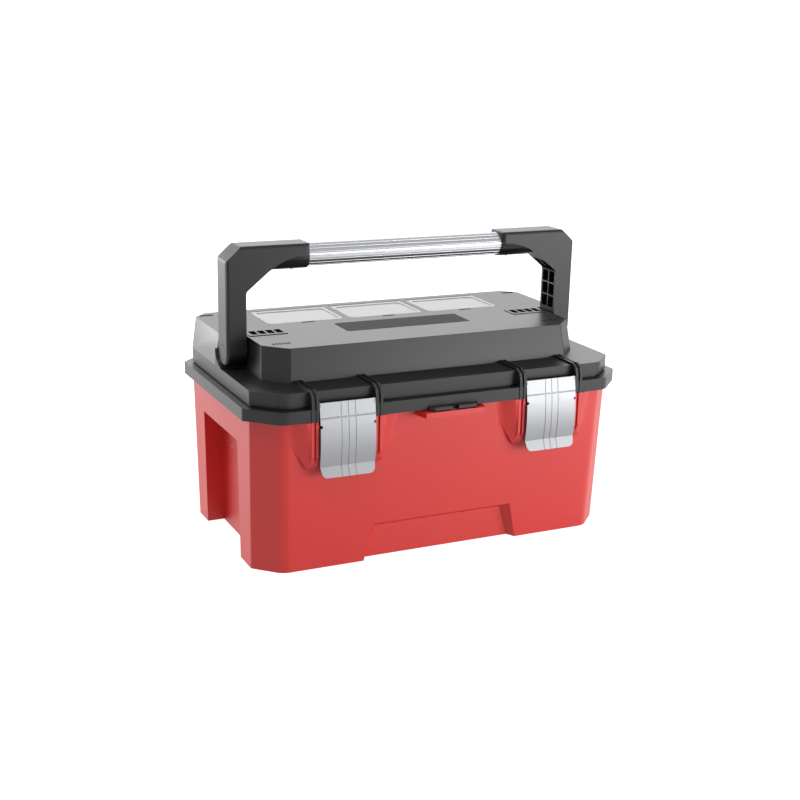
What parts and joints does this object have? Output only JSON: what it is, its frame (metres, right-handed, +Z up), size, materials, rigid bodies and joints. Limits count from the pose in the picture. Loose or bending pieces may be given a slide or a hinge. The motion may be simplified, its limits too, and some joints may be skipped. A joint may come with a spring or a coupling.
{
  "type": "cantilever tool box",
  "caption": "Moulded tool box with hinged lid, folding carry handle, sheet-metal latches, small-parts bins in the lid and a tray that swings up on parallel links.",
  "frame": {"origin": "middle of the tub's flat bottom, midway along the length and midway between the tub's front and back", "axes": "+X along the length to the right-hand end, +Y from the latches to the hinges, +Z up"},
  "size_m": [0.508, 0.31, 0.375],
  "materials": {
    "red_shell": "satin moulded polypropylene",
    "black_shell": "satin moulded polypropylene",
    "black_arm": "satin moulded polypropylene",
    "clear_cover": "frosted translucent",
    "label": "fine matt",
    "tray_plastic": "matt moulded polypropylene",
    "grip_metal": "anodised, extruded",
    "latch_metal": "satin pressed sheet",
    "link_steel": "zinc plated",
    "steel": "zinc plated"
  },
  "bodies": {
    "case": {"tub": "red_shell", "latch_ribs": "red_shell", "latch_ledges": "red_shell", "padlock_tab": "red_shell", "padlock_eye": "steel", "pivot_bracket_left": "link_steel", "pivot_bracket_right": "link_steel", "bracket_pins": "steel", "bracket_screws": "steel", "hinge_pins": "steel"},
    "lid": {"lid_shell": "black_shell", "label_plate": "label", "bin_cover_pins": "steel", "bin_divider_left": "tray_plastic", "bin_divider_middle": "tray_plastic", "bin_divider_right": "tray_plastic", "handle_pin_left": "black_arm", "handle_pin_right": "black_arm", "latch_pin_left": "steel", "latch_pin_right": "steel", "lid_link_pins": "steel"},
    "handle": {"handle_arm_left": "black_arm", "handle_arm_right": "black_arm", "grip_tube": "grip_metal", "grip_screws": "steel"},
    "cover_left": {"bin_cover_left": "clear_cover"},
    "cover_middle": {"bin_cover_middle": "clear_cover"},
    "cover_right": {"bin_cover_right": "clear_cover"},
    "latch_left": {"latch_plate_left": "latch_metal"},
    "latch_right": {"latch_plate_right": "latch_metal"},
    "rear_links": {"rear_link_left": "link_steel", "rear_link_right": "link_steel", "crank_pins": "steel"},
    "front_links": {"front_link_left": "link_steel", "front_link_right": "link_steel"},
    "drive_links": {"drive_link_left": "link_steel", "drive_link_right": "link_steel"},
    "tray_body": {"tray": "tray_plastic", "tray_divider_long": "tray_plastic", "tray_divider_cross": "tray_plastic", "tray_pins": "steel"}
  },
  "joints": [
    {"name": "lid_hinge", "type": "hinge", "parent": "case", "child": "lid", "pos_m": [0, 0.145, 0.184], "axis": [-1, 0, 0], "range_deg": [0, 100]},
    {"name": "handle_fold", "type": "hinge", "parent": "lid", "child": "handle", "pos_m": [0, -0.005, 0.245], "axis": [1, 0, 0], "range_deg": [0, 88]},
    {"name": "cover_left_hinge", "type": "hinge", "parent": "lid", "child": "cover_left", "pos_m": [-0.113, 0.1137, 0.2612], "axis": [-1, 0, 0], "range_deg": [0, 100]},
    {"name": "cover_middle_hinge", "type": "hinge", "parent": "lid", "child": "cover_middle", "pos_m": [0, 0.1137, 0.2612], "axis": [-1, 0, 0], "range_deg": [0, 100]},
    {"name": "cover_right_hinge", "type": "hinge", "parent": "lid", "child": "cover_right", "pos_m": [0.113, 0.1137, 0.2612], "axis": [-1, 0, 0], "range_deg": [0, 100]},
    {"name": "latch_left_swing", "type": "hinge", "parent": "lid", "child": "latch_left", "pos_m": [-0.1375, -0.1472, 0.2085], "axis": [-1, 0, 0], "range_deg": [0, 105]},
    {"name": "latch_right_swing", "type": "hinge", "parent": "lid", "child": "latch_right", "pos_m": [0.1375, -0.1472, 0.2085], "axis": [-1, 0, 0], "range_deg": [0, 105]},
    {"name": "rear_link_swing", "type": "hinge", "parent": "case", "child": "rear_links", "pos_m": [0, 0.0567, 0.17997], "axis": [-1, 0, 0], "range_deg": [0, 100]},
    {"name": "front_link_swing", "type": "hinge", "parent": "case", "child": "front_links", "pos_m": [0, 0.02912, 0.15683], "axis": [-1, 0, 0], "range_deg": [0, 100]},
    {"name": "tray_level", "type": "hinge", "parent": "rear_links", "child": "tray_body", "pos_m": [0, -0.023, 0.173], "axis": [-1, 0, 0], "range_deg": [-100, 0]},
    {"name": "drive_link_swing", "type": "hinge", "parent": "lid", "child": "drive_links", "pos_m": [0, 0.11469, 0.2015], "axis": [-1, 0, 0], "range_deg": [-100, 0]}
  ],
  "couplings": [
    {"joint": "rear_link_swing", "follows": "lid_hinge", "ratio": 1},
    {"joint": "front_link_swing", "follows": "lid_hinge", "ratio": 1},
    {"joint": "tray_level", "follows": "lid_hinge", "ratio": -1},
    {"joint": "drive_link_swing", "follows": "lid_hinge", "ratio": -1}
  ]
}
